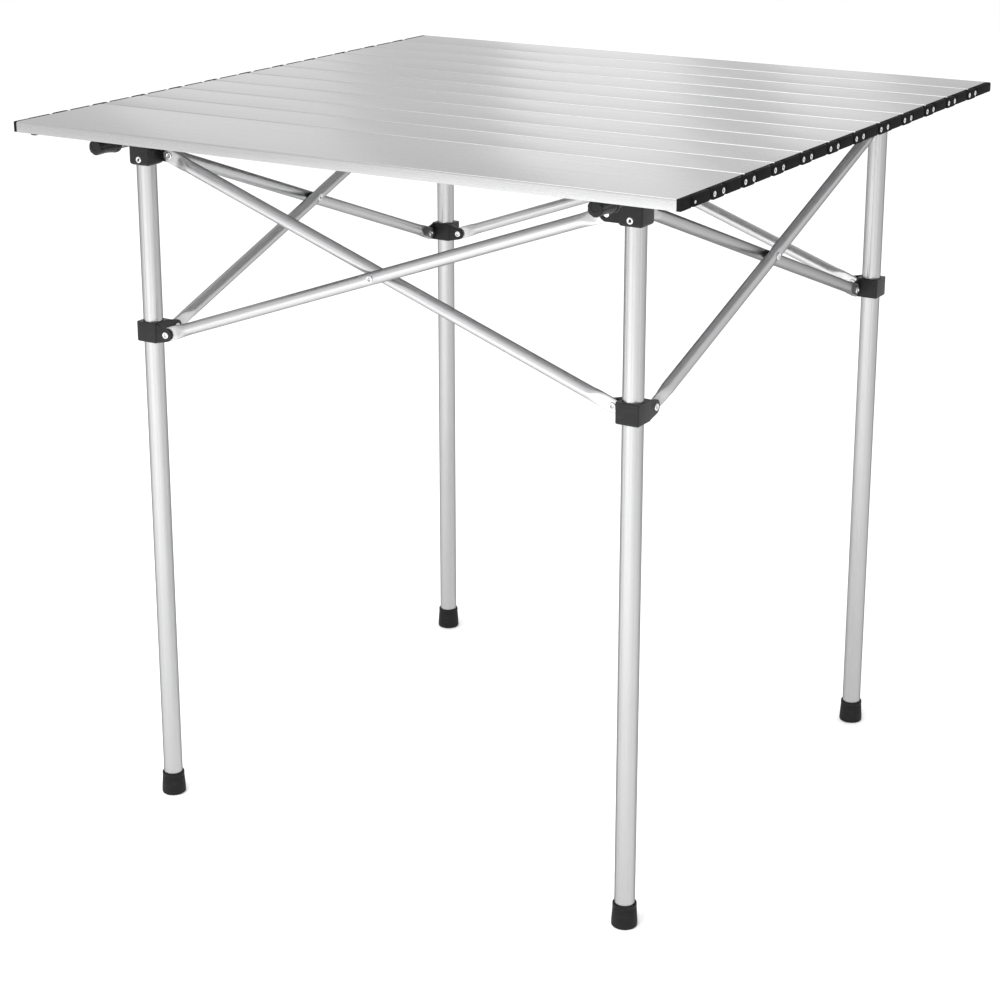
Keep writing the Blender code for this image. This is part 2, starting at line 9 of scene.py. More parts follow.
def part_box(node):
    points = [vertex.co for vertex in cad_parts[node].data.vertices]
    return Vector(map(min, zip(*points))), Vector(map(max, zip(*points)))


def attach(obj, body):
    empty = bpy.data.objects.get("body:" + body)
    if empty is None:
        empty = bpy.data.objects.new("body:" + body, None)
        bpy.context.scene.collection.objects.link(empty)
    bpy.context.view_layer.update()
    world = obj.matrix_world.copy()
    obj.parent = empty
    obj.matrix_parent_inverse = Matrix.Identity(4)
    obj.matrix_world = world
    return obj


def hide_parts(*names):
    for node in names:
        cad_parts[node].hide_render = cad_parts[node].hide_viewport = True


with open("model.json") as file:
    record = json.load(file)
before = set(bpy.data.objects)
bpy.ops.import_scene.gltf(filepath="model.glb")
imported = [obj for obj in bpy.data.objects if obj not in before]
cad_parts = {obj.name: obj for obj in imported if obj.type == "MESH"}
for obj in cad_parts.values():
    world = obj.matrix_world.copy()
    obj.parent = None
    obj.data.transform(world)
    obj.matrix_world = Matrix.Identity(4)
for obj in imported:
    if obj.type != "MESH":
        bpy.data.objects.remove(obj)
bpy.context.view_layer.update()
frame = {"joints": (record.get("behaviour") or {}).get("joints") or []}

# ---------------------------------------------------------------------------
# The looks of a folding aluminium camping table: the frame's pieces are made
# again in fine meshes around the CAD nodes, whose boxes give every position.
# Metres, +Z up, X along the slats, Y from front to back.
# ---------------------------------------------------------------------------
CORNERS = ("front_right", "back_right", "back_left", "front_left")
SIDES = ("front", "right", "back", "left")
SLATS = 11
QUARTER = math.pi / 2

joints = {joint["name"]: joint for joint in frame["joints"]}
leg_low, leg_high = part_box("leg_front_right")
foot_low, foot_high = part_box("foot_front_right")
bracket_low, bracket_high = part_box("bracket_front_right")
slider_low, slider_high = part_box("slider_front_right")
rod_low, rod_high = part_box("support_rod_right")
link_low, link_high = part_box("link_01_right")
top_low, top_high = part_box("slat_01")

LEG_X = (leg_low.x + leg_high.x) / 2
LEG_RADIUS = (leg_high.x - leg_low.x) / 2
FOOT_RADIUS = (foot_high.x - foot_low.x) / 2
TOP_PIVOT = Vector(joints["fold"]["pos_m"])
LOW_PIVOT = Vector(joints["front_left_slider_pivot"]["pos_m"])
REACH = LEG_X - TOP_PIVOT.x
TUBE_OFFSET = -LEG_X - TOP_PIVOT.y
BLOCK_HALF = bracket_high.x - LEG_X
TOP_Z = top_high.z
SLAT_BOTTOM = top_low.z
SLAT_MIDDLE = (TOP_Z + SLAT_BOTTOM) / 2
ROD_RADIUS = (rod_high.x - rod_low.x) / 2
ROD_Z = (rod_high.z + rod_low.z) / 2

# Materials: the height of the grain's relief
GRAIN_HEIGHT = 0.0002

# Legs and feet
LEG_STEPS = 160
LEG_WALL = 0.0012
LEG_CHAMFER = 0.0003
LEG_FLUTES = 10
LEG_FLUTE_DEPTH = 0.00016
BORE_GAP = 0.00025
FOOT_NECK_STEP = 0.0009
FOOT_MOUTH_ROUND = 0.0006
FOOT_SEAT = 0.003
FOOT_RIM = 0.0038
FOOT_GROOVE = 0.0004
FOOT_TREAD = (0.0018, 0.0052)
FOOT_TREAD_ROUND = 0.0015
FOOT_TREAD_WIDTH = 0.0042
FOOT_HOLLOW = 0.0006

# Brackets and collars: an ear's faces are measured across the leg from its axis.
EAR_INNER = 0.0086
EAR_OUTER = 0.0110
COLLAR_EAR_OUTER = 0.0105
EAR_RADIUS = 0.0066
EAR_ROOT = 0.004
EAR_INSET = 0.0006
BRACKET_EAR_RAISE = 0.0024
PIVOT_HOLE = 0.0023
CUT_OVER = 0.002
BRACKET_CHAMFER = 0.0030
BRACKET_CORNER = 0.0020
COLLAR_CHAMFER = 0.0016
COLLAR_CORNER = 0.0012
HOOK_RADIUS = 0.0034
HOOK_SLOT_ANGLE = 38.0
HOOK_SLOT_LENGTH = 0.011
HOOK_SLOT_FLARE = (0.0022, 0.0012)
HOOK_SLOT_SPAN = (-0.0135, -0.0075)
EYELET_Z = 0.6598
SADDLE_REACH = 0.03
BLOCK_SOFTNESS = 0.0005
BLOCK_RIM_STEPS = 5
BLOCK_TOP_RIM = (0.0006, 0.0004)

# Rivets: a head is its radius and height
PIVOT_HEAD = (0.0035, 0.0011)
CENTRE_HEAD = (0.0036, 0.0015)
EYELET_HEAD = (0.0031, 0.0007)
LINK_HEAD = (0.0025, 0.0005)
SMALL_HEAD = (0.0014, 0.0004)
SCREW_HEAD = (0.0014, 0.0002)
HOOK_HEAD = (HOOK_RADIUS - 0.0004, 0.0008)
HOOK_HEAD_SINK = 0.0008
HOOK_SHANK = HOOK_RADIUS - 0.0003
PIVOT_SHANK = 0.0020
LINK_SHANK = 0.0014
HEAD_SINK = 0.0001
RIVET_STEPS = 32

# Crossed tubes: the ends are pressed flat and the middle is pressed in a little.
TUBE_RADIUS = 0.006
FLAT_HALF_WIDTH = 0.0068
FLAT_HALF_THICKNESS = 0.0015
FLAT_LENGTH = 0.009
TAPER_LENGTH = 0.020
WAIST_LENGTH = 0.010
WAIST_DEPTH = 0.0009
TIP_STEPS = 9
FLAT_STEPS = 3
TAPER_STEPS = 12
WAIST_STEPS = 9
BRACE_STEPS = 48
ROUND_POWER = 2.0
FLAT_POWER = 5.0
TIP_HALF_WIDTH = 0.0012
SPACER_RADIUS = 0.0043
SPACER_BORE = 0.0022
SPACER_CHAMFER = 0.0003

# Support rods and grips: the grips sit lower than the rods and have flats for the fingers.
ROD_TUBE_END = 0.306
ROD_WALL = 0.0012
GRIP_RING = 0.0087
GRIP_NECK = 0.0068
GRIP_NOSE = 0.0073
GRIP_DROP = 0.0014
GRIP_FLATS = 6
GRIP_FLAT_DEPTH = 0.0005

# Slats, end caps and links: drops are below a slat's top, a raise is above its bottom.
SLAT_HALF = 0.344
SLAT_STATIONS = (-SLAT_HALF, -0.17, 0.0, 0.17, SLAT_HALF)
SLAT_CORNER = 0.0014
SLAT_LIP = 0.0011
SKIN = 0.0013
RIB_HALF = 0.0006
RIB_DEPTH = 0.0035
RIB_SHARE = 0.18
LINK_HALF = (link_high.y - link_low.y) / 2
PIN_OFFSET = LINK_HALF - (link_high.z - link_low.z) / 2
LINK_RADIUS = 0.0050
LINK_CHAMFER = 0.0010
BLOCK_CLEAR = PIN_OFFSET + LINK_RADIUS + 0.0019
BLOCK_CHAMFER = 0.0009
FLANGE = 0.0012
BLOCK_PROUD = 0.0051
LINK_PROUD = 0.0056
PLATE_PROUD = 0.0034
BLOCK_DROP = 0.0001
FLANGE_DROP = 0.0016
FLANGE_RAISE = 0.0012
PLATE_DROP = 0.00005
FRONT_PAIR = 0.0646
FRONT_PLATE = 0.0195
CAP_SOFTNESS = 0.0003

# Studio: a light's glow is its brightness, and 0 degrees is behind the table, 90 to its left.
FLOOR_SIZE = 30.0
FLOOR_DROP = 0.0004
FLOOR_GREY = 0.985
WORLD_LEVEL = 1.0
FAR_DISTANCE = 6.0
FAR_HEIGHT = 2.2
FAR_PANEL_SIZE = 3.4
FAR_PANELS = (  # azimuth, width, glow
    (40.5, 0.80, 0.33), (28.0, 0.65, 0.58), (20.0, 0.38, 0.50), (-8.0, 0.8, 0.4),
    (-35.0, 0.8, 0.5), (-75.0, 0.9, 0.5), (85.0, 1.0, 0.5), (130.0, 0.8, 0.4),
    (-120.0, 0.8, 0.4), (-139.5, 0.80, 0.33), (-152.0, 0.65, 0.58), (-160.0, 0.38, 0.50))
FRONT_HEIGHT = 1.1
FRONT_PANEL_SIZE = 2.2
FRONT_PANELS = (  # azimuth, distance, width, glow
    (165.0, 2.4, 1.1, 0.50), (-112.0, 2.4, 0.7, 0.45))
OVERHEAD_PLACE = (-0.95, 0.1, 3.2)
OVERHEAD_SIZE = (1.1, 2.6)
OVERHEAD_GLOW = 2.0
POOL_PLACE = (0.1, -2.2, 1.9)
POOL_SIZE = (2.8, 1.2)
POOL_GLOW = 8.0
CAMERA_PLACE = (1.1435, -1.9323, 1.0642)
CAMERA_DOWN = 16.63
CAMERA_YAW = 31.27
CAMERA_LENS = 82.8
CAMERA_SHIFT = -0.10


# --- building blocks --------------------------------------------------------
def to_object(name, shape, smooth=35.0):
    """Make a named object from a bmesh and free it."""
    bmesh.ops.recalc_face_normals(shape, faces=shape.faces)
    mesh = bpy.data.meshes.new(name)
    shape.to_mesh(mesh)
    shape.free()
    piece = bpy.data.objects.new(name, mesh)
    bpy.context.scene.collection.objects.link(piece)
    if smooth:
        mesh.shade_smooth()
        mesh.set_sharp_from_angle(angle=math.radians(smooth))
    return piece


def loft(shape, rings, closed=True, capped=True):
    """Skin rings of points in order; each ring has the same number of points."""
    rows = [[shape.verts.new(point) for point in ring] for ring in rings]
    count = len(rows[0])
    last = count if closed else count - 1
    for first, second in zip(rows, rows[1:]):
        for step in range(last):
            after = (step + 1) % count
            shape.faces.new((first[step], first[after], second[after], second[step]))
    if capped:
        shape.faces.new(list(reversed(rows[0])))
        shape.faces.new(rows[-1])


def lathe(shape, profile, steps=48, centre=(0.0, 0.0, 0.0), flute=None):
    """Turn a closed profile of (radius, height) points about Z; flute cuts grooves in it."""
    rows = []
    for step in range(steps):
        angle = 2 * math.pi * step / steps
        row = []
        for radius, height in profile:
            wide = radius - (flute(angle, radius) if flute else 0.0)
            point = Vector((wide * math.cos(angle), wide * math.sin(angle), height))
            row.append(shape.verts.new(point + Vector(centre)))
        rows.append(row)
    count = len(profile)
    for here, after in zip(rows, rows[1:] + rows[:1]):
        for index in range(count):
            follow = (index + 1) % count
            shape.faces.new((here[index], here[follow], after[follow], after[index]))
    bmesh.ops.remove_doubles(shape, verts=shape.verts, dist=0.00002)
    loose = [face for face in shape.faces if face.calc_area() < 1e-13]
    bmesh.ops.delete(shape, geom=loose, context="FACES_ONLY")


def prism(shape, outline, low, high, axis):
    """Extrude a flat outline from low to high along the X or Y axis."""
    rings = []
    for level in (low, high):
        if axis == "Y":
            rings.append([(u, level, v) for u, v in outline])
        else:
            rings.append([(level, u, v) for u, v in outline])
    loft(shape, rings)


def arc(centre, radius, start, end, steps):
    """Points on an arc; angles in degrees."""
    points = []
    for step in range(steps + 1):
        angle = math.radians(start + (end - start) * step / steps)
        points.append((centre[0] + radius * math.cos(angle), centre[1] + radius * math.sin(angle)))
    return points


def rounded_square(half, radius, steps=8):
    """Outline of a square with round corners."""
    inner = half - radius
    outline = []
    for turn, (u, v) in enumerate(((inner, inner), (-inner, inner), (-inner, -inner),
                                   (inner, -inner))):
        outline += arc((u, v), radius, 90 * turn, 90 * turn + 90, steps)
    return outline


def bake(piece):
    """Replace a piece's mesh by what its modifiers make of it."""
    bpy.context.view_layer.update()
    graph = bpy.context.evaluated_depsgraph_get()
    mesh = bpy.data.meshes.new_from_object(piece.evaluated_get(graph))
    piece.modifiers.clear()
    piece.data = mesh


def combine(piece, tools, operation):
    """Join tools to a piece, or cut them out of it, and remove them."""
    for tool in tools:
        step = piece.modifiers.new("cut", "BOOLEAN")
        step.operation = operation
        step.solver = "EXACT"
        step.object = tool
        bake(piece)
        bpy.data.objects.remove(tool, do_unlink=True)


def soften(piece, width, segments=3, angle=32.0):
    """Round the sharp edges and shade the piece smooth."""
    bevel = piece.modifiers.new("soft_edges", "BEVEL")
    bevel.width = width
    bevel.segments = segments
    bevel.limit_method = "ANGLE"
    bevel.angle_limit = math.radians(angle)
    bevel.use_clamp_overlap = True
    bevel.miter_outer = "MITER_ARC"
    bake(piece)
    piece.data.shade_smooth()
    piece.data.set_sharp_from_angle(angle=math.radians(angle))


def finish(piece, material, body, node=None):
    """Give a piece its material and its body, and hide the node it stands for."""
    piece.data.materials.clear()
    piece.data.materials.append(material)
    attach(piece, body)
    if node:
        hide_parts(node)


def turn_to(piece, quarter, location=(0.0, 0.0, 0.0)):
    """Place a piece modelled for corner or side 0 some quarter turns on."""
    piece.matrix_world = (Matrix.Rotation(quarter * QUARTER, 4, "Z")
                          @ Matrix.Translation(location))


# --- materials --------------------------------------------------------------
def node_material(name, colour, roughness, metallic):
    """Make a material; return it with its node tree and its shader."""
    material = bpy.data.materials.new(name)
    material.use_nodes = True
    tree = material.node_tree
    shader = tree.nodes["Principled BSDF"]
    shader.inputs["Base Color"].default_value = (*colour, 1.0)
    shader.inputs["Roughness"].default_value = roughness
    shader.inputs["Metallic"].default_value = metallic
    return material, tree, shader


def stretched_noise(tree, stretch, detail=4.0, rough=0.6):
    """Noise in the piece's own coordinates, stretched along one axis into lines."""
    coordinates = tree.nodes.new("ShaderNodeTexCoord")
    mapping = tree.nodes.new("ShaderNodeMapping")
    mapping.inputs["Scale"].default_value = stretch
    noise = tree.nodes.new("ShaderNodeTexNoise")
    noise.inputs["Scale"].default_value = 1.0
    noise.inputs["Detail"].default_value = detail
    noise.inputs["Roughness"].default_value = rough
    tree.links.new(coordinates.outputs["Object"], mapping.inputs["Vector"])
    tree.links.new(mapping.outputs["Vector"], noise.inputs["Vector"])
    return noise


def ramp(tree, source, low, high, start=0.35, end=0.65):
    """Map a 0 to 1 value between two greys or colours."""
    node = tree.nodes.new("ShaderNodeValToRGB")
    node.color_ramp.elements[0].position = start
    node.color_ramp.elements[1].position = end
    node.color_ramp.elements[0].color = (*low, 1.0)
    node.color_ramp.elements[1].color = (*high, 1.0)
    tree.links.new(source, node.inputs["Fac"])
    return node


def spread(tree, source, low, high):
    """Map a 0 to 1 value to a range of numbers."""
    node = tree.nodes.new("ShaderNodeMapRange")
    node.inputs["From Min"].default_value = 0.3
    node.inputs["From Max"].default_value = 0.7
    node.inputs["To Min"].default_value = low
    node.inputs["To Max"].default_value = high
    tree.links.new(source, node.inputs["Value"])
    return node


def add_bump(tree, shader, height, strength, distance):
    """Let a 0 to 1 value raise the surface by up to a distance in metres."""
    bump = tree.nodes.new("ShaderNodeBump")
    bump.inputs["Strength"].default_value = strength
    bump.inputs["Distance"].default_value = distance
    tree.links.new(height, bump.inputs["Height"])
    tree.links.new(bump.outputs["Normal"], shader.inputs["Normal"])


def brushed_aluminium(name, grey, edge, rough_range, stretch, bump):
    """Satin anodised aluminium with drawn lines; edge is its tint near grazing angles. A dark edge
    is painted shade that darkens a tube's sides where they turn away.
    """
    colour = (grey, grey, grey * 1.01)
    material, tree, shader = node_material(name, colour, sum(rough_range) / 2, 1.0)
    # a dark edge value here paints shade onto the sides at grazing angles
    shader.inputs["Specular Tint"].default_value = (edge, edge, edge, 1.0)
    lines = stretched_noise(tree, stretch)
    cloud = stretched_noise(tree, (7.0, 7.0, 7.0), 2.0, 0.5)
    tint = ramp(tree, cloud.outputs["Fac"], [part * 0.965 for part in colour], colour)
    tree.links.new(tint.outputs["Color"], shader.inputs["Base Color"])
    rough = spread(tree, lines.outputs["Fac"], *rough_range)
    tree.links.new(rough.outputs["Result"], shader.inputs["Roughness"])
    add_bump(tree, shader, lines.outputs["Fac"], bump, GRAIN_HEIGHT)
    return material


def moulded_plastic(name, grey, gloss, rough_range, grain, bump):
    """Black plastic or rubber with a fine moulded grain and faint scuffs."""
    colour = (grey, grey, grey * 1.06)
    material, tree, shader = node_material(name, colour, sum(rough_range) / 2, 0.0)
    shader.inputs["Specular IOR Level"].default_value = gloss
    speck = stretched_noise(tree, (grain, grain, grain), 3.0, 0.55)
    scuff = stretched_noise(tree, (90.0, 90.0, 260.0), 5.0, 0.7)
    tint = ramp(tree, scuff.outputs["Fac"], colour, [part * 1.9 for part in colour], 0.52, 0.78)
    tree.links.new(tint.outputs["Color"], shader.inputs["Base Color"])
    rough = spread(tree, speck.outputs["Fac"], *rough_range)
    tree.links.new(rough.outputs["Result"], shader.inputs["Roughness"])
    add_bump(tree, shader, speck.outputs["Fac"], bump, GRAIN_HEIGHT)
    return material


def rivet_steel():
    """Bright plated steel with fine scratches."""
    material, tree, shader = node_material("rivet_steel", (0.66, 0.66, 0.67), 0.22, 1.0)
    scratch = stretched_noise(tree, (700.0, 700.0, 700.0), 5.0, 0.65)
    rough = spread(tree, scratch.outputs["Fac"], 0.14, 0.34)
    tree.links.new(rough.outputs["Result"], shader.inputs["Roughness"])
    tint = ramp(tree, scratch.outputs["Fac"], (0.55, 0.55, 0.56), (0.74, 0.74, 0.75))
    tree.links.new(tint.outputs["Color"], shader.inputs["Base Color"])
    add_bump(tree, shader, scratch.outputs["Fac"], 0.15, GRAIN_HEIGHT / 2)
    return material


slat_metal = brushed_aluminium("brushed_slat", 0.47, 0.80, (0.22, 0.31),
                               (3.0, 1500.0, 1500.0), 0.10)
# painted shade: the legs' dark edge tint of 0.15 darkens their sides at grazing angles
leg_metal = brushed_aluminium("drawn_leg_tube", 0.43, 0.15, (0.26, 0.36),
                              (1300.0, 1300.0, 2.5), 0.12)
# painted shade: the brace tubes' dark edge tint of 0.15 darkens their sides at grazing angles
tube_metal = brushed_aluminium("drawn_brace_tube", 0.52, 0.15, (0.28, 0.40),
                               (2.5, 1300.0, 1300.0), 0.12)
plastic = moulded_plastic("black_moulding", 0.010, 0.22, (0.36, 0.50), 1800.0, 0.22)
nylon = moulded_plastic("black_nylon_cap", 0.009, 0.03, (0.62, 0.75), 1800.0, 0.22)
rubber = moulded_plastic("black_rubber_cap", 0.011, 0.12, (0.50, 0.66), 1400.0, 0.30)
steel = rivet_steel()


# --- legs and feet ----------------------------------------------------------
def leg_groove(angle, radius):
    """Depth of the shallow grooves down the outside of a leg tube."""
    if radius < LEG_RADIUS - LEG_WALL / 2:
        return 0.0
    return LEG_FLUTE_DEPTH * max(0.0, math.cos(LEG_FLUTES * angle)) ** 6


def make_leg(corner):
    """A round tube with fine grooves along it."""
    low = leg_low.z
    high = leg_high.z
    inner = LEG_RADIUS - LEG_WALL
    rim = LEG_RADIUS - LEG_CHAMFER
    profile = [(inner, low), (inner, high), (rim, high), (LEG_RADIUS, high - LEG_CHAMFER),
               (LEG_RADIUS, low + LEG_CHAMFER), (rim, low)]
    shape = bmesh.new()
    lathe(shape, profile, LEG_STEPS, flute=leg_groove)
    name = CORNERS[corner]
    leg = to_object("leg_tube_" + name, shape)
    turn_to(leg, corner, (LEG_X, -LEG_X, 0.0))
    finish(leg, leg_metal, "leg_" + name + "_body", "leg_" + name)


def make_foot(corner):
    """A rubber cap with a rounded mouth, a groove under its rim and a wider tread."""
    high = foot_high.z
    inner = LEG_RADIUS + BORE_GAP
    neck = FOOT_RADIUS - FOOT_NECK_STEP
    waist = neck - FOOT_GROOVE
    rim = high - FOOT_RIM
    soft = FOOT_MOUTH_ROUND
    sole = FOOT_TREAD_ROUND
    hollow = FOOT_RADIUS - FOOT_TREAD_WIDTH
    profile = [(0.0, FOOT_SEAT), (inner, FOOT_SEAT), (inner, high - soft)]
    profile += arc((inner + soft, high - soft), soft, 180, 90, 3)
    profile += arc((neck - soft, high - soft), soft, 90, 0, 4)
    profile += [(neck, rim), (waist, rim - 0.0005), (waist, rim - 0.0011), (neck, rim - 0.0016)]
    profile += [(FOOT_RADIUS, FOOT_TREAD[1]), (FOOT_RADIUS, FOOT_TREAD[0])]
    profile += arc((FOOT_RADIUS - sole, sole), sole, 0, -90, 5)
    profile += [(hollow, 0.0), (hollow - 0.0004, FOOT_HOLLOW), (0.0, FOOT_HOLLOW)]
    shape = bmesh.new()
    lathe(shape, profile, 72)
    name = CORNERS[corner]
    foot = to_object("foot_cap_" + name, shape)
    turn_to(foot, corner, (LEG_X, -LEG_X, 0.0))
    finish(foot, rubber, "leg_" + name + "_body", "foot_" + name)


# --- brackets and collars ----------------------------------------------------
def block_tool(name, outline, low, high, axis):
    """A prism as an object, to join or cut with."""
    shape = bmesh.new()
    prism(shape, outline, low, high, axis)
    return to_object(name, shape, smooth=0)


def chamfered_block(name, low, high, chamfer, corner):
    """A square block with round upright edges, whose lower rim is drawn in."""
    shape = bmesh.new()
    rings = []
    for step in range(BLOCK_RIM_STEPS + 1):
        angle = QUARTER * step / BLOCK_RIM_STEPS
        draw = chamfer * (1 - math.sin(angle))
        level = low + chamfer * (1 - math.cos(angle))
        outline = rounded_square(BLOCK_HALF - draw, corner - draw * 0.25)
        rings.append([(u, v, level) for u, v in outline])
    rim, rim_draw = BLOCK_TOP_RIM
    for level, draw in ((high - rim, 0.0), (high, rim_draw)):
        rings.append([(u, v, level) for u, v in rounded_square(BLOCK_HALF - draw, corner - draw)])
    loft(shape, rings)
    return to_object(name, shape, smooth=0)


def pin(shape, start, end, radius, steps=20):
    """A plain shank between two points."""
    start = Vector(start)
    end = Vector(end)
    along = end - start
    spin = along.to_track_quat("Z", "Y").to_matrix().to_4x4()
    bmesh.ops.create_cone(shape, cap_ends=True, segments=steps, radius1=radius, radius2=radius,
                          depth=along.length,
                          matrix=Matrix.Translation((start + end) / 2) @ spin)


def round_tool(name, start, end, radius, steps=48):
    """A cylinder as an object, to cut with."""
    shape = bmesh.new()
    pin(shape, start, end, radius, steps)
    return to_object(name, shape, smooth=0)


def touch_angle(run, rise):
    """Angle at which a line from a point run before and rise off the pivot meets the round end."""
    slope = math.atan2(rise, run) - math.asin(EAR_RADIUS / math.hypot(run, rise))
    return 90.0 - math.degrees(slope)


def ear_outline(low, high, pivot_z):
    """A plate from the block's edge, whose height is low to high, to a round end."""
    root = BLOCK_HALF - EAR_ROOT
    run = REACH - BLOCK_HALF
    first = touch_angle(run, high - pivot_z)
    last = touch_angle(run, pivot_z - low)
    outline = [(-root, low), (-root, high), (-BLOCK_HALF, high)]
    outline += arc((-REACH, pivot_z), EAR_RADIUS, 180 - first, 180 + last, 20)
    outline += [(-BLOCK_HALF, low)]
    return outline


def add_ear(block, outline, along, side, outer_face):
    """Join a plate to a block. along is '-X' or '+Y'; side says on which side it stands."""
    low, high = sorted((side * EAR_INNER, side * outer_face))
    tool = block_tool("ear", outline, low, high, "Y")
    if along == "+Y":
        tool.data.transform(Matrix.Rotation(-QUARTER, 4, "Z"))
    combine(block, [tool], "UNION")


def ear_point(along, side, depth, height):
    """A point on an ear's pivot axis, depth from the tube's plane outwards."""
    if along == "-X":
        return Vector((-REACH, side * depth, height))
    return Vector((side * depth, REACH, height))


def cut_pivot(block, along, side, height, radius=PIVOT_HOLE):
    """Drill an ear through for its pivot."""
    start = ear_point(along, side, EAR_INNER - CUT_OVER, height)
    end = ear_point(along, side, EAR_OUTER + CUT_OVER, height)
    combine(block, [round_tool("hole", start, end, radius, 40)], "DIFFERENCE")


def make_bracket(corner):
    """The block on a leg's top: an outer hooked ear and an inner plain ear."""
    low = bracket_low.z
    high = bracket_high.z
    pivot = TOP_PIVOT.z
    block = chamfered_block("bracket", low, high, BRACKET_CHAMFER, BRACKET_CORNER)
    outline = ear_outline(low + BRACKET_EAR_RAISE, high - EAR_INSET, pivot)
    add_ear(block, outline, "-X", -1, EAR_OUTER)
    add_ear(block, outline, "+Y", -1, EAR_OUTER)
    cut_pivot(block, "-X", -1, pivot, HOOK_RADIUS)
    cut_pivot(block, "+Y", -1, pivot)
    half = HOOK_RADIUS - 0.0002
    wide_low, wide_high = HOOK_SLOT_FLARE
    slot = block_tool("slot", [(-half, 0.0), (half, 0.0), (half + wide_high, HOOK_SLOT_LENGTH),
                               (-half - wide_low, HOOK_SLOT_LENGTH)], *HOOK_SLOT_SPAN, "Y")
    slot.data.transform(Matrix.Rotation(-math.radians(HOOK_SLOT_ANGLE), 4, "Y"))
    slot.data.transform(Matrix.Translation((-REACH, 0.0, pivot)))
    bore = round_tool("bore", (0, 0, low - CUT_OVER), (0, 0, leg_high.z + BORE_GAP),
                      LEG_RADIUS + BORE_GAP)
    rod_way = Vector((0, 1, 0)) if corner % 2 == 0 else Vector((1, 0, 0))
    middle = Vector((0, 0, ROD_Z))
    saddle = round_tool("saddle", middle - SADDLE_REACH * rod_way, middle + SADDLE_REACH * rod_way,
                        ROD_RADIUS + BORE_GAP, 64)
    combine(block, [slot, bore, saddle], "DIFFERENCE")
    soften(block, BLOCK_SOFTNESS)
    name = CORNERS[corner]
    block.name = "bracket_moulding_" + name
    turn_to(block, corner, (LEG_X, -LEG_X, 0.0))
    body = "leg_" + name + "_body"
    finish(block, plastic, body, "bracket_" + name)

    shape = bmesh.new()
    for way in (-1, 1):
        spot = way * (BLOCK_HALF - HEAD_SINK) * rod_way
        rivet_head(shape, (spot.x, spot.y, EYELET_Z), way * rod_way, *EYELET_HEAD)
    eyelets = to_object("bracket_eyelets_" + name, shape)
    turn_to(eyelets, corner, (LEG_X, -LEG_X, 0.0))
    finish(eyelets, steel, body)


def make_slider(corner):
    """The collar that slides on a leg: an inner ear to -X and an outer one to +Y."""
    low = slider_low.z
    high = slider_high.z
    pivot = LOW_PIVOT.z
    block = chamfered_block("slider", low, high, COLLAR_CHAMFER, COLLAR_CORNER)
    outline = ear_outline(low + EAR_INSET, high - EAR_INSET, pivot)
    add_ear(block, outline, "-X", 1, COLLAR_EAR_OUTER)
    add_ear(block, outline, "+Y", 1, COLLAR_EAR_OUTER)
    cut_pivot(block, "-X", 1, pivot)
    cut_pivot(block, "+Y", 1, pivot)
    bore = round_tool("bore", (0, 0, low - CUT_OVER), (0, 0, high + CUT_OVER),
                      LEG_RADIUS + BORE_GAP)
    combine(block, [bore], "DIFFERENCE")
    soften(block, BLOCK_SOFTNESS)
    name = CORNERS[corner]
    block.name = "slider_collar_" + name
    turn_to(block, corner, (LEG_X, -LEG_X, 0.0))
    finish(block, plastic, "slider_" + name + "_body", "slider_" + name)


# --- rivets -------------------------------------------------------------------
def rivet_head(shape, centre, way, radius, height):
    """A rolled hollow rivet head standing on a face, with a deep well in its middle."""
    well = radius * 0.36
    rings = [(radius, 0.0), (radius * 0.98, height * 0.45), (radius * 0.88, height * 0.85),
             (radius * 0.72, height), (radius * 0.56, height * 0.92), (radius * 0.44, height * 0.6),
             (well, height * 0.1), (well * 0.92, -0.0009), (well * 0.5, -0.0011),
             (0.0, -0.0010), (0.0, -0.0016), (radius * 0.9, -0.0016)]
    spin = Vector(way).to_track_quat("Z", "Y").to_matrix().to_4x4()
    place = Matrix.Translation(centre) @ spin
    steps = RIVET_STEPS
    loops = []
    for part, level in rings:
        if part == 0.0:
            loops.append([shape.verts.new(place @ Vector((0.0, 0.0, level)))] * steps)
            continue
        loop = []
        for step in range(steps):
            angle = 2 * math.pi * step / steps
            point = Vector((part * math.cos(angle), part * math.sin(angle), level))
            loop.append(shape.verts.new(place @ point))
        loops.append(loop)
    for index, low in enumerate(loops):
        high = loops[(index + 1) % len(loops)]
        for step in range(steps):
            after = (step + 1) % steps
            corners = [low[step], low[after], high[after], high[step]]
            distinct = list(dict.fromkeys(corners))
            if len(distinct) > 2:
                shape.faces.new(distinct)


# --- crossed tubes --------------------------------------------------------------
def superellipse(width, thickness, power, steps):
    """Points of a section that is round at power 2 and squarer above it."""
    points = []
    for step in range(steps):
        angle = 2 * math.pi * step / steps
        c = math.cos(angle)
        s = math.sin(angle)
        points.append((math.copysign(abs(c) ** (2 / power), c) * thickness,
                       math.copysign(abs(s) ** (2 / power), s) * width))
    return points


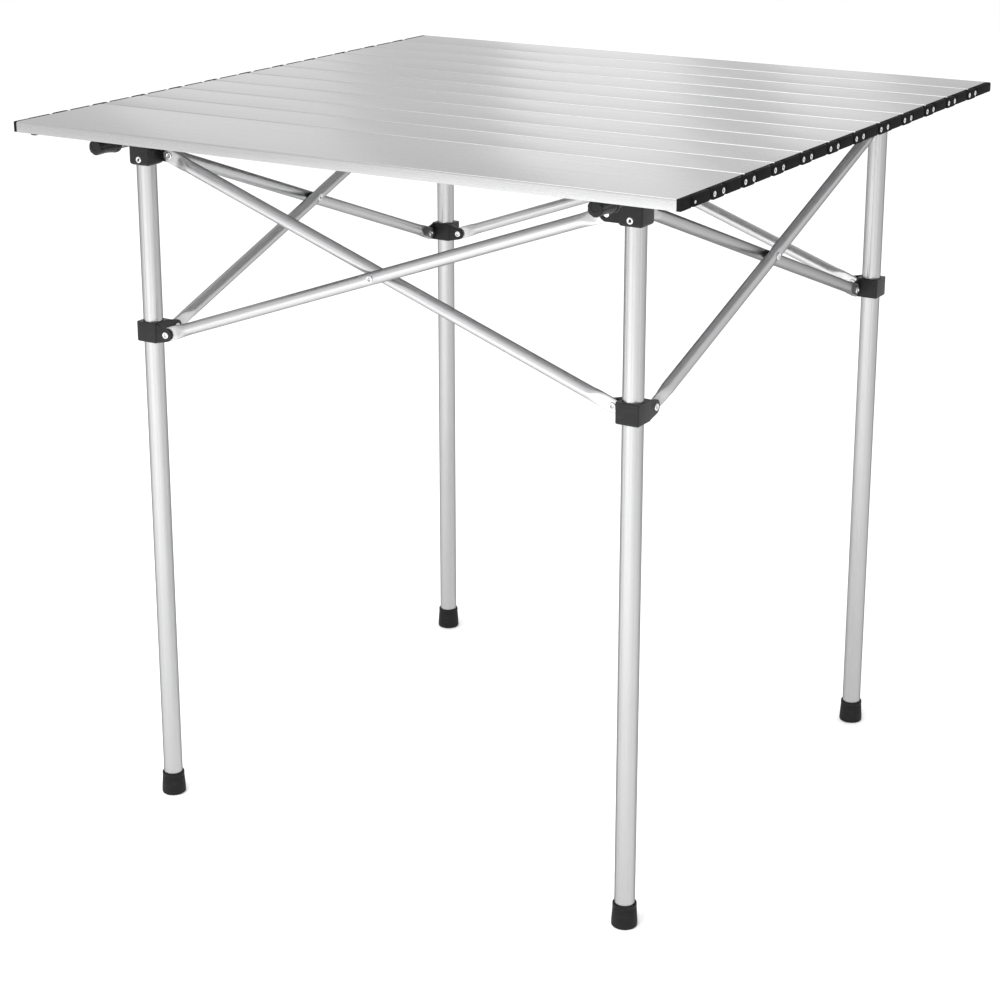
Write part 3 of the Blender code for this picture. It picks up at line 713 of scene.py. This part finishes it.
def brace_rings(half_length):
    """Sections of a tube along X whose ends are pressed flat and rounded."""
    stations = []
    for step in range(TIP_STEPS):
        stations.append(("tip", QUARTER * (1 - step / TIP_STEPS)))
    for step in range(FLAT_STEPS + 1):
        stations.append(("flat", step / FLAT_STEPS))
    for step in range(1, TAPER_STEPS + 1):
        stations.append(("taper", step / TAPER_STEPS))
    for step in range(WAIST_STEPS):
        stations.append(("waist", 1.0 - step / WAIST_STEPS))
    rings = []
    for kind, value in stations:
        if kind == "tip":
            along = half_length + FLAT_HALF_WIDTH * math.sin(value)
            width = max(FLAT_HALF_WIDTH * math.cos(value), TIP_HALF_WIDTH)
            thickness = FLAT_HALF_THICKNESS * min(1.0, 0.82 + width / FLAT_HALF_WIDTH)
            power = FLAT_POWER
        elif kind == "flat":
            along = half_length - FLAT_LENGTH * value
            width = FLAT_HALF_WIDTH
            thickness = FLAT_HALF_THICKNESS
            power = FLAT_POWER
        elif kind == "waist":
            along = WAIST_LENGTH * value
            width = TUBE_RADIUS
            thickness = TUBE_RADIUS - WAIST_DEPTH * (1.0 - value * value) ** 2
            power = ROUND_POWER
        else:
            along = half_length - FLAT_LENGTH - TAPER_LENGTH * value
            blend = value * value * (3 - 2 * value)
            width = FLAT_HALF_WIDTH + (TUBE_RADIUS - FLAT_HALF_WIDTH) * blend
            thickness = FLAT_HALF_THICKNESS + (TUBE_RADIUS - FLAT_HALF_THICKNESS) * blend
            power = FLAT_POWER - (FLAT_POWER - ROUND_POWER) * min(1.0, blend * 1.3)
        rings.append((along, width, thickness, power))
    return rings


def make_brace(side, is_outer):
    """One of a side's two crossed tubes, with its rivets and, if outer, the spacer washer."""
    name = SIDES[side] + "_" + ("outer" if is_outer else "inner")
    half_span = LEG_X - REACH
    rise = TOP_PIVOT.z - LOW_PIVOT.z
    half_length = math.hypot(2 * half_span, rise) / 2
    tilt = math.atan2(rise, 2 * half_span) * (1 if is_outer else -1)
    outward = -1 if is_outer else 1
    place = (Matrix.Rotation(side * QUARTER, 4, "Z")
             @ Matrix.Translation((0.0, -LEG_X + outward * TUBE_OFFSET,
                                   (TOP_PIVOT.z + LOW_PIVOT.z) / 2))
             @ Matrix.Rotation(-tilt, 4, "Y"))
    body = "brace_" + name + "_body"

    right = brace_rings(half_length)
    whole = [(-along, width, thickness, power) for along, width, thickness, power in right]
    whole += [(0.0, TUBE_RADIUS, TUBE_RADIUS - WAIST_DEPTH, ROUND_POWER)]
    whole += list(reversed(right))
    shape = bmesh.new()
    rings = []
    for along, width, thickness, power in whole:
        section = superellipse(width, thickness, power, BRACE_STEPS)
        rings.append([(along, y, z) for y, z in section])
    loft(shape, rings)
    tube = to_object("brace_tube_" + name, shape, smooth=50)
    tube.matrix_world = place
    finish(tube, tube_metal, body, "brace_" + name)

    shape = bmesh.new()
    for end in (-half_length, half_length):
        add_end_rivet(shape, end, outward, is_outer)
    if is_outer:
        add_centre_rivet(shape)
    rivets = to_object("brace_rivets_" + name, shape)
    rivets.matrix_world = place
    finish(rivets, steel, body)
    if is_outer:
        make_spacer(side, place, body)


def add_end_rivet(shape, end, outward, is_outer):
    """The rivet through a flat end and its ear; the hooked ear has a smaller, sunk head."""
    at_collar = (end < 0) == is_outer
    ear_face = (COLLAR_EAR_OUTER if at_collar else EAR_OUTER) - TUBE_OFFSET
    pin(shape, (end, -outward * 0.001, 0.0), (end, outward * ear_face, 0.0), PIVOT_SHANK)
    rivet_head(shape, (end, -outward * FLAT_HALF_THICKNESS, 0.0), (0, -outward, 0), *PIVOT_HEAD)
    if is_outer and end > 0:
        pin(shape, (end, outward * FLAT_HALF_THICKNESS * 0.5, 0.0),
            (end, outward * (ear_face - 0.0007), 0.0), HOOK_SHANK, 32)
        rivet_head(shape, (end, outward * (ear_face - HOOK_HEAD_SINK), 0.0), (0, outward, 0),
                   *HOOK_HEAD)
    else:
        rivet_head(shape, (end, outward * (ear_face + 0.0001), 0.0), (0, outward, 0), *PIVOT_HEAD)


def add_centre_rivet(shape):
    """The rivet through both tubes where they cross."""
    near = -(TUBE_RADIUS - WAIST_DEPTH - 0.0003)
    far = 2 * TUBE_OFFSET - near
    pin(shape, (0, near, 0), (0, far, 0), PIVOT_SHANK)
    rivet_head(shape, (0, near, 0), (0, -1, 0), *CENTRE_HEAD)
    rivet_head(shape, (0, far, 0), (0, 1, 0), *CENTRE_HEAD)


def make_spacer(side, place, body):
    """The black washer between two crossed tubes."""
    gap = TUBE_OFFSET - TUBE_RADIUS + WAIST_DEPTH - 0.0001
    low = TUBE_OFFSET - gap
    high = TUBE_OFFSET + gap
    rim = SPACER_RADIUS - SPACER_CHAMFER
    profile = [(SPACER_BORE, low), (SPACER_BORE, high), (rim, high),
               (SPACER_RADIUS, high - SPACER_CHAMFER), (SPACER_RADIUS, low + SPACER_CHAMFER),
               (rim, low)]
    shape = bmesh.new()
    lathe(shape, profile, 40)
    spacer = to_object("centre_spacer_" + SIDES[side], shape)
    spacer.matrix_world = place @ Matrix.Rotation(-QUARTER, 4, "X")
    finish(spacer, plastic, body)


# --- support rods and grips ---------------------------------------------------
def make_rod(hand):
    """A tube under the slats with a grip in its front end and a plug in its back end."""
    side = 1 if hand == "right" else -1
    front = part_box("grip_" + hand)[0].y
    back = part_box("support_rod_" + hand)[1].y
    end = ROD_TUBE_END
    inner = ROD_RADIUS - ROD_WALL
    rim = ROD_RADIUS - LEG_CHAMFER
    profile = [(inner, -end), (inner, end), (rim, end), (ROD_RADIUS, end - LEG_CHAMFER),
               (ROD_RADIUS, LEG_CHAMFER - end), (rim, -end)]
    shape = bmesh.new()
    lathe(shape, profile, 64)
    rod = to_object("rod_tube_" + hand, shape)
    rod.matrix_world = (Matrix.Translation((side * LEG_X, 0.0, ROD_Z))
                        @ Matrix.Rotation(-QUARTER, 4, "X"))
    finish(rod, leg_metal, "rods_body", "support_rod_" + hand)
    make_grip("grip_front_" + hand, side, -end, front, "grip_" + hand)
    make_grip("grip_back_" + hand, side, end, back, None)


def grip_profile(span, ring, neck, nose):
    """Radius and distance from the rod's end: a ring, a waisted body and a round nose."""
    spigot = ROD_RADIUS - 0.0015
    soft = 0.0013
    profile = [(0.0, -0.016), (spigot - 0.0004, -0.016), (spigot, -0.015), (spigot, 0.0002)]
    profile += [(ring - 0.0005, 0.0002), (ring, 0.0007), (ring, 0.0030), (ring - 0.0005, 0.0035),
                (ring - 0.0014, 0.0038), (ring - 0.0014, 0.0046), (ring - 0.0007, 0.0052)]
    start = 0.0066
    end = span - 0.0062
    for step in range(7):
        share = step / 6
        waist = (1 - (2 * share - 1) ** 2) * (nose - neck)
        straight = ring - 0.0007 + (nose - ring + 0.0007) * share
        profile.append((straight - waist, start + (end - start) * share))
    profile += [(nose, span - 0.0052)]
    profile += arc((nose - soft, span - soft), soft, 0, 90, 6)
    profile += [(nose - 0.0030, span), (nose - 0.0034, span - 0.0005), (0.0, span - 0.0005)]
    return profile


def make_grip(name, side, root, tip, node):
    """A black plug in a rod's end: the front ones are grips with a ring and finger flats."""
    span = abs(tip - root)
    way = 1 if tip > root else -1
    if node:
        profile = grip_profile(span, GRIP_RING, GRIP_NECK, GRIP_NOSE)
    else:
        profile = grip_profile(span, ROD_RADIUS, ROD_RADIUS - 0.0012, ROD_RADIUS - 0.0007)

    def flute(angle, radius):
        if node and radius < GRIP_RING - 0.0008 and radius > GRIP_NECK - 0.0004:
            return GRIP_FLAT_DEPTH * max(0.0, math.cos(GRIP_FLATS * angle)) ** 2
        return 0.0

    shape = bmesh.new()
    lathe(shape, profile, 72, flute=flute)
    if node:
        for vert in shape.verts:
            if vert.co.z > 0.0 and vert.co.xy.length > ROD_RADIUS - 0.0030:
                vert.co.y += GRIP_DROP * way
    grip = to_object(name, shape)
    spin = Matrix.Rotation(-QUARTER if way > 0 else QUARTER, 4, "X")
    grip.matrix_world = Matrix.Translation((side * LEG_X, root, ROD_Z)) @ spin
    finish(grip, plastic, "rods_body", node)


# --- slats ----------------------------------------------------------------------
def slat_span(index):
    """Front and back edge of a slat."""
    low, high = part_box("slat_%02d" % index)
    return low.y, high.y


def skin_outline(front, back):
    """Section of a slat: rounded skin, side walls with lips under them and two ribs."""
    top = TOP_Z
    bottom = SLAT_BOTTOM
    corner = SLAT_CORNER
    outline = arc((front + corner, top - corner), corner, 180, 90, 7)
    outline += arc((back - corner, top - corner), corner, 90, 0, 7)
    wall = SKIN
    lip = SLAT_LIP
    outline += [(back, bottom + 0.0002), (back - 0.0002, bottom), (back - wall - lip, bottom),
                (back - wall - lip, bottom + 0.0009), (back - wall, bottom + 0.0012),
                (back - wall, top - SKIN - 0.0005), (back - wall - 0.0005, top - SKIN)]
    middle = (front + back) / 2
    apart = (back - front) * RIB_SHARE
    rib = RIB_HALF
    for centre in (middle + apart, middle - apart):
        outline += [(centre + rib, top - SKIN), (centre + rib, top - SKIN - RIB_DEPTH),
                    (centre - rib, top - SKIN - RIB_DEPTH), (centre - rib, top - SKIN)]
    outline += [(front + wall + 0.0005, top - SKIN), (front + wall, top - SKIN - 0.0005),
                (front + wall, bottom + 0.0012), (front + wall + lip, bottom + 0.0009),
                (front + wall + lip, bottom), (front + 0.0002, bottom), (front, bottom + 0.0002)]
    return outline


def make_slat(index):
    """A slat's metal skin and its two end caps."""
    front, back = slat_span(index)
    node = "slat_%02d" % index
    body = node + "_body"
    shape = bmesh.new()
    outline = skin_outline(front, back)
    rings = [[(x, y, z) for y, z in outline] for x in SLAT_STATIONS]
    loft(shape, rings)
    skin = to_object("slat_skin_%02d" % index, shape, smooth=40)
    finish(skin, slat_metal, body, node)
    for side in (-1, 1):
        make_cap(index, side, front, back, body)


def link_centre(index):
    """Y of the gap behind a slat, which its link spans."""
    low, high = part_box("link_%02d_right" % index)
    return (low.y + high.y) / 2


def plate_outline(front, back, low, high, radius):
    """A (Y, Z) outline with rounded corners."""
    outline = arc((back - radius, high - radius), radius, 0, 90, 4)
    outline += arc((front + radius, high - radius), radius, 90, 180, 4)
    outline += arc((front + radius, low + radius), radius, 180, 270, 4)
    outline += arc((back - radius, low + radius), radius, 270, 360, 4)
    return outline


def pillow(outline_at, side, root, proud, chamfer):
    """A plate standing out from a slat's end whose outer rim is chamfered."""
    shape = bmesh.new()
    rings = []
    for x, inset in ((root, 0.0), (proud - chamfer, 0.0), (proud - chamfer * 0.35, chamfer * 0.35),
                     (proud, chamfer)):
        rings.append([(side * (SLAT_HALF + x), y, z) for y, z in outline_at(inset)])
    loft(shape, rings)
    return to_object("pillow", shape, smooth=0)


def end_block(side, front, back):
    """The raised part of an end cap, a little below the slat's top, with a sloped rim."""
    def outline_at(inset):
        return plate_outline(front + inset * 0.6, back - inset * 0.6, SLAT_BOTTOM + 0.0004 + inset,
                             TOP_Z - BLOCK_DROP - inset, 0.0012)

    return pillow(outline_at, side, FLANGE * 0.4, BLOCK_PROUD, BLOCK_CHAMFER)


def link_outline(centre, inset):
    """A (Y, Z) outline with round ends about the two pins."""
    radius = LINK_RADIUS - inset
    outline = arc((centre + PIN_OFFSET, SLAT_MIDDLE), radius, -90, 90, 14)
    outline += arc((centre - PIN_OFFSET, SLAT_MIDDLE), radius, 90, 270, 14)
    return outline


def make_cap(index, side, front, back, body):
    """The black end cap: a flange over the whole end and raised blocks between the links."""
    root = side * (SLAT_HALF - 0.0004)
    low_x, high_x = sorted((root, side * (SLAT_HALF + FLANGE)))
    outline = plate_outline(front + 0.0001, back - 0.0001, SLAT_BOTTOM + FLANGE_RAISE,
                            TOP_Z - FLANGE_DROP, 0.0009)
    cap = block_tool("plate", outline, low_x, high_x, "X")
    start = front if index == 1 else link_centre(index - 1) + BLOCK_CLEAR
    end = back if index == SLATS else link_centre(index) - BLOCK_CLEAR
    blocks = []
    if index == 1:
        pair = top_low.y + FRONT_PAIR
        nose = top_low.y + FRONT_PLATE
        outline = plate_outline(front + 0.0001, nose, SLAT_BOTTOM, TOP_Z - PLATE_DROP, 0.0009)
        low_x, high_x = sorted((root, side * (SLAT_HALF + PLATE_PROUD)))
        blocks.append(block_tool("plate", outline, low_x, high_x, "X"))
        blocks.append(pillow(lambda inset: link_outline(pair, inset), side, FLANGE * 0.4,
                             LINK_PROUD, LINK_CHAMFER))
        blocks.append(end_block(side, nose + 0.0006, pair - BLOCK_CLEAR))
        blocks.append(end_block(side, pair + BLOCK_CLEAR, end))
    else:
        blocks.append(end_block(side, start, end))
    combine(cap, blocks, "UNION")
    soften(cap, CAP_SOFTNESS, 2)
    cap.name = "end_cap_%02d_%s" % (index, "right" if side > 0 else "left")
    finish(cap, nylon, body)
    if index == 1:
        shape = bmesh.new()
        for way in (-1, 1):
            spot = (side * (SLAT_HALF + LINK_PROUD - HEAD_SINK), pair + way * PIN_OFFSET,
                    SLAT_MIDDLE)
            rivet_head(shape, spot, (side, 0, 0), *LINK_HEAD)
        spot = (side * (SLAT_HALF + BLOCK_PROUD - HEAD_SINK), nose + 0.0036, SLAT_MIDDLE - 0.0006)
        rivet_head(shape, spot, (side, 0, 0), *SMALL_HEAD)
        heads = to_object("front_cap_rivets_" + ("right" if side > 0 else "left"), shape)
        finish(heads, steel, body)


def make_link(index, side):
    """A stadium-shaped plate with a chamfered rim and two hollow rivets."""
    centre = link_centre(index)
    hand = "right" if side > 0 else "left"
    plate = pillow(lambda inset: link_outline(centre, inset), side, FLANGE + 0.0003,
                   LINK_PROUD, LINK_CHAMFER)
    soften(plate, CAP_SOFTNESS, 2)
    plate.name = "link_plate_%02d_%s" % (index, hand)
    body = "links_%02d_body" % index
    finish(plate, nylon, body, "link_%02d_%s" % (index, hand))
    shape = bmesh.new()
    for way in (-1, 1):
        y = centre + way * PIN_OFFSET
        spot = (side * (SLAT_HALF + LINK_PROUD - HEAD_SINK), y, SLAT_MIDDLE)
        rivet_head(shape, spot, (side, 0, 0), *LINK_HEAD)
        pin(shape, (side * (SLAT_HALF + FLANGE + 0.0008), y, SLAT_MIDDLE),
            (side * (SLAT_HALF - 0.003), y, SLAT_MIDDLE), LINK_SHANK, 16)
    rivets = to_object("link_rivets_%02d_%s" % (index, hand), shape)
    finish(rivets, steel, body)


def make_front_trim():
    """The small screw on the front edge and the two pads under it."""
    shape = bmesh.new()
    rivet_head(shape, (-SLAT_HALF + 0.003, top_low.y + 0.0002, SLAT_MIDDLE), (0, -1, 0),
               *SCREW_HEAD)
    screw = to_object("front_edge_screw", shape)
    finish(screw, steel, "slat_01_body")
    for side in (-1, 1):
        shape = bmesh.new()
        profile = [(0.0, 0.0), (0.0030, 0.0)] + arc((0.0030, -0.0010), 0.0010, 90, -60, 5)
        profile += [(0.0016, -0.0024), (0.0, -0.0026)]
        lathe(shape, profile, 32, (side * (SLAT_HALF - 0.016), top_low.y + 0.007, SLAT_BOTTOM))
        pad = to_object("front_pad_" + ("right" if side > 0 else "left"), shape)
        finish(pad, rubber, "slat_01_body")


for corner in range(4):
    make_leg(corner)
    make_foot(corner)
    make_bracket(corner)
    make_slider(corner)
for side in range(4):
    make_brace(side, True)
    make_brace(side, False)
for hand in ("left", "right"):
    make_rod(hand)
for index in range(1, SLATS + 1):
    make_slat(index)
for index in range(1, SLATS):
    for side in (-1, 1):
        make_link(index, side)
make_front_trim()


# --- floor, light and camera -----------------------------------------------------
def make_floor():
    """A wide plain pale floor."""
    shape = bmesh.new()
    bmesh.ops.create_grid(shape, x_segments=1, y_segments=1, size=FLOOR_SIZE)
    floor = to_object("floor", shape, smooth=0)
    floor.location.z = -FLOOR_DROP
    material, _, shader = node_material("pale_floor", (FLOOR_GREY,) * 3, 0.8, 0.0)
    shader.inputs["Specular IOR Level"].default_value = 0.1
    floor.data.materials.append(material)


def make_softbox(name, location, target, width, height, glow):
    """A soft rectangular light; glow is its brightness, whatever its size."""
    data = bpy.data.lights.new(name, "AREA")
    data.shape = "RECTANGLE"
    data.size = width
    data.size_y = height
    data.energy = glow * math.pi * width * height
    lamp = bpy.data.objects.new(name, data)
    bpy.context.scene.collection.objects.link(lamp)
    lamp.location = location
    aim = Vector(target) - Vector(location)
    lamp.rotation_euler = aim.to_track_quat("-Z", "Y").to_euler()
    lamp.visible_camera = False
    return lamp


def around(azimuth, distance, height):
    """A point seen from the table's middle at an azimuth; 0 is behind it, 90 to its left."""
    angle = math.radians(azimuth)
    return (-distance * math.sin(angle), distance * math.cos(angle), height)


def make_lights():
    """Upright soft panels round the table, a light above it and one over the floor before it."""
    for index, (azimuth, width, glow) in enumerate(FAR_PANELS):
        place = around(azimuth, FAR_DISTANCE, FAR_HEIGHT)
        aim = (0.0, 0.0, FAR_HEIGHT)
        make_softbox("far_panel_%d" % index, place, aim, width, FAR_PANEL_SIZE, glow)
    for index, (azimuth, distance, width, glow) in enumerate(FRONT_PANELS):
        place = around(azimuth, distance, FRONT_HEIGHT)
        aim = (0.0, 0.0, FRONT_HEIGHT)
        make_softbox("front_panel_%d" % index, place, aim, width, FRONT_PANEL_SIZE, glow)
    make_softbox("overhead", OVERHEAD_PLACE, (*OVERHEAD_PLACE[:2], 0.0), *OVERHEAD_SIZE,
                 OVERHEAD_GLOW)
    pool = make_softbox("floor_light", POOL_PLACE, (*POOL_PLACE[:2], 0.0), *POOL_SIZE, POOL_GLOW)
    pool.visible_glossy = False


def make_world():
    """Even light from all sides."""
    world = bpy.data.worlds.new("studio")
    world.use_nodes = True
    background = world.node_tree.nodes["Background"]
    background.inputs["Color"].default_value = (WORLD_LEVEL, WORLD_LEVEL, WORLD_LEVEL, 1.0)
    bpy.context.scene.world = world


def make_camera():
    """Camera at the front right, looking down a little."""
    data = bpy.data.cameras.new("camera")
    data.sensor_width = 36.0
    data.lens = CAMERA_LENS
    data.shift_y = CAMERA_SHIFT
    data.clip_end = 100.0
    camera = bpy.data.objects.new("camera", data)
    bpy.context.scene.collection.objects.link(camera)
    camera.location = CAMERA_PLACE
    camera.rotation_mode = "XYZ"
    camera.rotation_euler = (math.radians(90.0 - CAMERA_DOWN), 0.0, math.radians(CAMERA_YAW))
    bpy.context.scene.camera = camera


make_floor()
make_world()
make_lights()
make_camera()
bpy.context.scene.view_settings.view_transform = "Standard"
